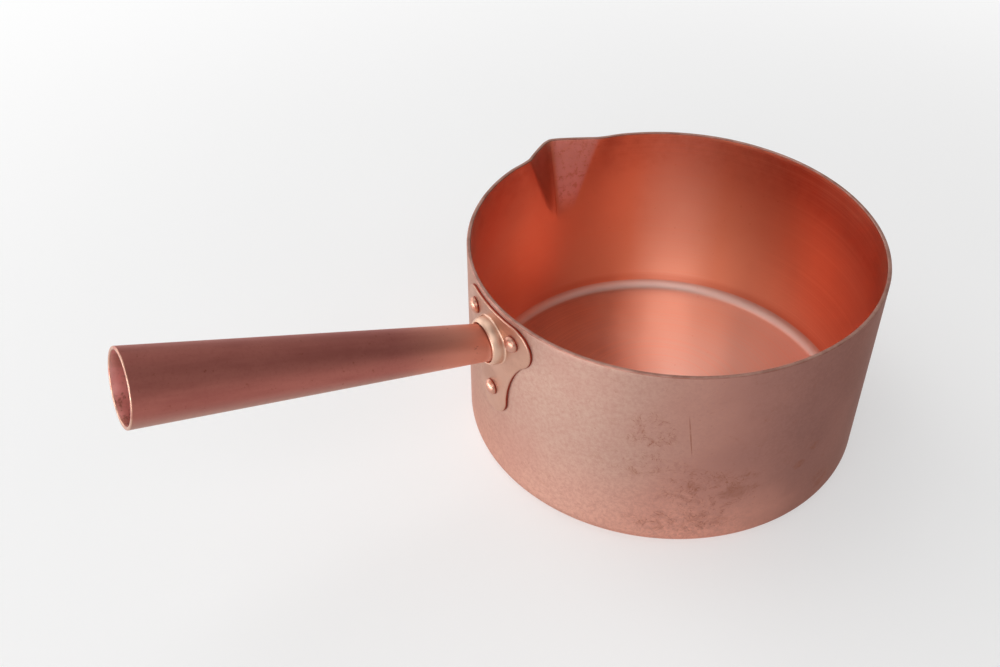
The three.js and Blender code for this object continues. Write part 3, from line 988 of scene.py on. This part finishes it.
def rivet_frame(node, sizes):
    """Place of a rivet: its axis is the piece's own +Z, from the wall's outside."""
    points = [v.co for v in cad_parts[node].data.vertices]
    middle = sum(points, Vector()) / len(points)
    out = Vector((middle.x, middle.y, 0)).normalized()
    up = Vector((0, 0, 1))
    turn = Matrix((up.cross(out), up, out)).transposed().to_4x4()
    return Matrix.Translation(out * sizes.bowl_radius + up * middle.z) @ turn


def dome(radius, rise):
    """Radius and height of a rivet's head, from its top to its seat, with a short upright skirt."""
    skirt = DOME_SKIRT * rise
    points = [(0, rise)]
    for i in range(1, BEND_STEPS + 1):
        t = math.pi / 2 * i / BEND_STEPS
        points.append((radius * math.sin(t) ** DOME_FULLNESS, skirt + (rise - skirt) * math.cos(t)))
    return points + [(radius, 0)]


def rivet_mesh(name, sizes):
    """Domed head outside, shank through plate and wall, and a low head inside the bowl."""
    seat = sizes.plate_face - sizes.bowl_radius
    inside = -sizes.sheet
    head = dome(sizes.rivet_head, sizes.rivet_rise)
    tail = dome(sizes.rivet_tail, sizes.rivet_tail_rise)
    profile = [(r, inside - h) for r, h in tail]
    profile += [(sizes.rivet_shank, inside), (sizes.rivet_shank, seat)]
    profile += [(r, seat + h) for r, h in reversed(head)]
    rings = [circle(radius, height, RIVET_COLUMNS) for radius, height in profile]
    # The skirt and seat get the tarnish and painted shade of the seams
    slots = [0] * (len(tail) - 2) + [1] * SEAM_BANDS + [0] * (len(head) - 2)
    return skin(name, rings, slots)


def rivet_copper(s, colours):
    """Bright copper with hammer marks."""
    place = s.place()
    marks = s.noise(place, 420, 3, 0.6)
    base = s.mix(s.step(marks, 0.48, 0.75), colours.rivet, colours.plate_dull)
    s.copper(base, 0.35 + 0.14 * marks, s.bump(marks, HAMMER_DEPTH))


# Stage

FLOOR_RADIUS = 3.0  # metres, the flat part
FLOOR_SWEEP = 1.0  # metres, radius of the bend at its edge
FLOOR_SWEEP_END = -38  # degrees, where the bend stops
FLOOR_DROP = 0.2 * MM  # gap under the pan's base
FLOOR_SHADE = 0.985  # brightness of the paper's faint clouds
FLOOR_NEAR = 0.2  # metres from the bowl's axis, where the floor starts to turn white
FLOOR_FAR = 0.7  # metres from the bowl's axis, where it is white


def floor_paper(s, stage):
    """Plain pale paper with soft clouds, which turns white with distance."""
    place = s.place()
    pale = Vector(stage.floor)
    base = s.mix(s.step(s.noise(place, 3, 2), 0.3, 0.7), pale, pale * FLOOR_SHADE)
    lit = s.add("ShaderNodeBsdfDiffuse", sockets={"Color": base})
    white = s.add("ShaderNodeEmission", sockets={"Color": (1, 1, 1, 1), "Strength": 1.0})
    rays = ("Is Camera Ray", "Is Glossy Ray", "Is Transmission Ray")
    camera, glossy, through = s.add("ShaderNodeLightPath", outputs=rays)
    far = s.step(s.size(place), FLOOR_NEAR, FLOOR_FAR)
    share = (stage.floor_white + (1 - stage.floor_white) * far) * (camera + glossy + through)
    s.surface(s.add("ShaderNodeMixShader", sockets={0: share, 1: lit, 2: white}))


def add_floor(stage):
    """A round floor whose far edge sweeps up."""
    profile = [(radius, 0) for radius in spread(0, FLOOR_RADIUS, FLOOR_ROW)]
    profile += arc(FLOOR_RADIUS, FLOOR_SWEEP, FLOOR_SWEEP, -90, FLOOR_SWEEP_END, BEND_STEPS)[1:]
    rings = [circle(radius, height, FLOOR_COLUMNS) for radius, height in profile]
    mesh = skin("floor", rings, [0] * (len(rings) - 1))
    mesh.materials.append(new_finish(floor_paper, stage))
    floor = bpy.data.objects.new("floor", mesh)
    floor.location.z = -FLOOR_DROP
    bpy.context.scene.collection.objects.link(floor)


# Softboxes: bearing and elevation in degrees, distance, width and height in metres, power in watts
SOFTBOXES = {
    "left_softbox": (356, 2.2, 1.5, 2.0, 0.10, 22.0),
    "back_left_softbox": (295, 18, 1.5, 1.6, 0.7, 7.5),
    "front_softbox": (50, 43, 1.5, 0.6, 1.0, 2.0),
    "wide_front_softbox": (46, 40, 1.6, 1.8, 0.9, 6.6),
    "upper_left_softbox": (320, 60, 1.5, 1.4, 1.2, 4.8),
    "back_softbox": (265, 60, 1.5, 1.2, 1.2, 3.6),
    "far_softbox": (195, 42, 1.5, 1.2, 0.9, 1.3),
    "upper_right_softbox": (170, 55, 1.5, 1.0, 0.8, 0.6),
    "right_softbox": (115, 42, 1.5, 0.9, 0.6, 1.1),
    "edge_softbox": (230, 14, 1.5, 1.2, 0.5, 1.6),
}


def add_softbox(name, bearing, elevation, distance, width, height, power):
    """A rectangular lamp that faces the bowl."""
    lamp = bpy.data.lights.new(name, "AREA")
    lamp.shape = "RECTANGLE"
    lamp.size = width
    lamp.size_y = height
    lamp.energy = power
    softbox = bpy.data.objects.new(name, lamp)
    level = math.cos(math.radians(elevation))
    out = Vector((
        math.cos(math.radians(bearing)) * level,
        math.sin(math.radians(bearing)) * level,
        math.sin(math.radians(elevation)),
    ))
    softbox.location = out * distance
    softbox.rotation_euler = out.to_track_quat("Z", "Y").to_euler()
    softbox.visible_camera = False
    bpy.context.scene.collection.objects.link(softbox)


def add_world(stage):
    """A dim white room."""
    world = bpy.data.worlds.new("studio")
    world.use_nodes = True
    s = Shader(world.node_tree)
    room = s.add("ShaderNodeBackground", sockets={"Color": (1, 1, 1, 1), "Strength": stage.fill})
    s.add("ShaderNodeOutputWorld", sockets={"Surface": room})
    bpy.context.scene.world = world


SENSOR_WIDTH = 36.0  # millimetres
CLIP_START = 0.01  # metres


def add_camera(stage):
    """A camera at the photograph's viewing angle."""
    lens = bpy.data.cameras.new("photo_view")
    lens.sensor_width = SENSOR_WIDTH
    lens.lens = stage.camera_lens
    lens.clip_start = CLIP_START
    camera = bpy.data.objects.new("photo_view", lens)
    bearing = stage.camera_bearing
    stand = Vector((math.cos(bearing), math.sin(bearing), 0)) * stage.camera_distance
    stand.z = stage.camera_height
    heading = bearing + math.pi + stage.camera_yaw
    look = Euler((math.pi / 2 - stage.camera_pitch, 0, heading - math.pi / 2)).to_matrix().to_4x4()
    camera.matrix_world = Matrix.Translation(stand) @ look @ Matrix.Rotation(-stage.camera_roll, 4, "Z")
    bpy.context.scene.collection.objects.link(camera)
    bpy.context.scene.camera = camera


# Operators


class SUGARPAN_OT_stage(bpy.types.Operator):
    """Add the floor, the soft lights, the room and the camera"""

    bl_idname = "sugar_pan.stage"
    bl_label = "Stage"

    def execute(self, context):
        stage = context.scene.sugar_pan_stage
        add_camera(stage)
        add_floor(stage)
        add_world(stage)
        for name, (*place, power) in SOFTBOXES.items():
            add_softbox(name, *place, power * stage.light)
        context.scene.view_settings.view_transform = "Standard"
        return {"FINISHED"}


class SUGARPAN_OT_body(bpy.types.Operator):
    """Add the bowl with its pouring lip"""

    bl_idname = "sugar_pan.body"
    bl_label = "Bowl"

    def execute(self, context):
        sizes = context.scene.sugar_pan_sizes
        colours = context.scene.sugar_pan_colours
        finishes = [
            new_finish(outside_copper, colours, sizes.bowl_radius),
            new_finish(rim_copper, colours, sizes),
            new_finish(inside_copper, colours, sizes),
        ]
        add_piece("bowl", bowl_mesh(sizes), finishes, "pan_body")
        return {"FINISHED"}


class SUGARPAN_OT_plate(bpy.types.Operator):
    """Add the handle's plate with its collar"""

    bl_idname = "sugar_pan.plate"
    bl_label = "Handle plate"

    def execute(self, context):
        sizes = context.scene.sugar_pan_sizes
        colours = context.scene.sugar_pan_colours
        finishes = [new_finish(fill, colours) for fill in (plate_copper, collar_copper, seam_shade_copper)]
        add_piece("plate_and_collar", plate_mesh(sizes), finishes, "handle_plate")
        return {"FINISHED"}


class SUGARPAN_OT_tube(bpy.types.Operator):
    """Add the hollow handle"""

    bl_idname = "sugar_pan.tube"
    bl_label = "Handle tube"

    def execute(self, context):
        sizes = context.scene.sugar_pan_sizes
        colours = context.scene.sugar_pan_colours
        finishes = [
            new_finish(handle_copper, colours, sizes),
            new_finish(edge_copper, colours),
            new_finish(bore_copper, colours),
        ]
        place = tube_frame(sizes)
        add_piece("handle", tube_mesh(sizes), finishes, "handle_tube", place)
        return {"FINISHED"}


class SUGARPAN_OT_rivets(bpy.types.Operator):
    """Add the rivets that hold the plate to the bowl"""

    bl_idname = "sugar_pan.rivets"
    bl_label = "Rivets"

    def execute(self, context):
        sizes = context.scene.sugar_pan_sizes
        colours = context.scene.sugar_pan_colours
        finishes = [new_finish(fill, colours) for fill in (rivet_copper, seam_shade_copper)]
        for side in ("left", "right", "bottom"):
            node = f"rivet_{side}"
            mesh = rivet_mesh(f"{node}_skin", sizes)
            add_piece(f"{side}_rivet", mesh, finishes, node, rivet_frame(node, sizes))
        return {"FINISHED"}


class SUGARPAN_PT_sidebar(bpy.types.Panel):
    """Lists the pan's pieces and settings"""

    bl_idname = "SUGARPAN_PT_sidebar"
    bl_label = "Sugar pan"
    bl_space_type = "VIEW_3D"
    bl_region_type = "UI"
    bl_category = "Sugar pan"

    def draw(self, context):
        for operator in OPERATORS:
            self.layout.operator(operator.bl_idname)
        for name, group in GROUPS.items():
            settings = getattr(context.scene, name)
            box = self.layout.box()
            for setting in group.__annotations__:
                box.prop(settings, setting)


GROUPS = {
    "sugar_pan_sizes": SugarPanSizes,
    "sugar_pan_colours": SugarPanColours,
    "sugar_pan_stage": SugarPanStage,
}
OPERATORS = (
    SUGARPAN_OT_stage,
    SUGARPAN_OT_body,
    SUGARPAN_OT_plate,
    SUGARPAN_OT_tube,
    SUGARPAN_OT_rivets,
)


def register():
    for name, group in GROUPS.items():
        bpy.utils.register_class(group)
        setattr(bpy.types.Scene, name, bpy.props.PointerProperty(type=group))
    for cls in (*OPERATORS, SUGARPAN_PT_sidebar):
        bpy.utils.register_class(cls)


def unregister():
    for cls in reversed((*OPERATORS, SUGARPAN_PT_sidebar)):
        bpy.utils.unregister_class(cls)
    for name, group in GROUPS.items():
        delattr(bpy.types.Scene, name)
        bpy.utils.unregister_class(group)


def main():
    register()
    bpy.ops.sugar_pan.stage()
    bpy.ops.sugar_pan.body()
    bpy.ops.sugar_pan.plate()
    bpy.ops.sugar_pan.tube()
    bpy.ops.sugar_pan.rivets()


if __name__ == "__main__":
    main()
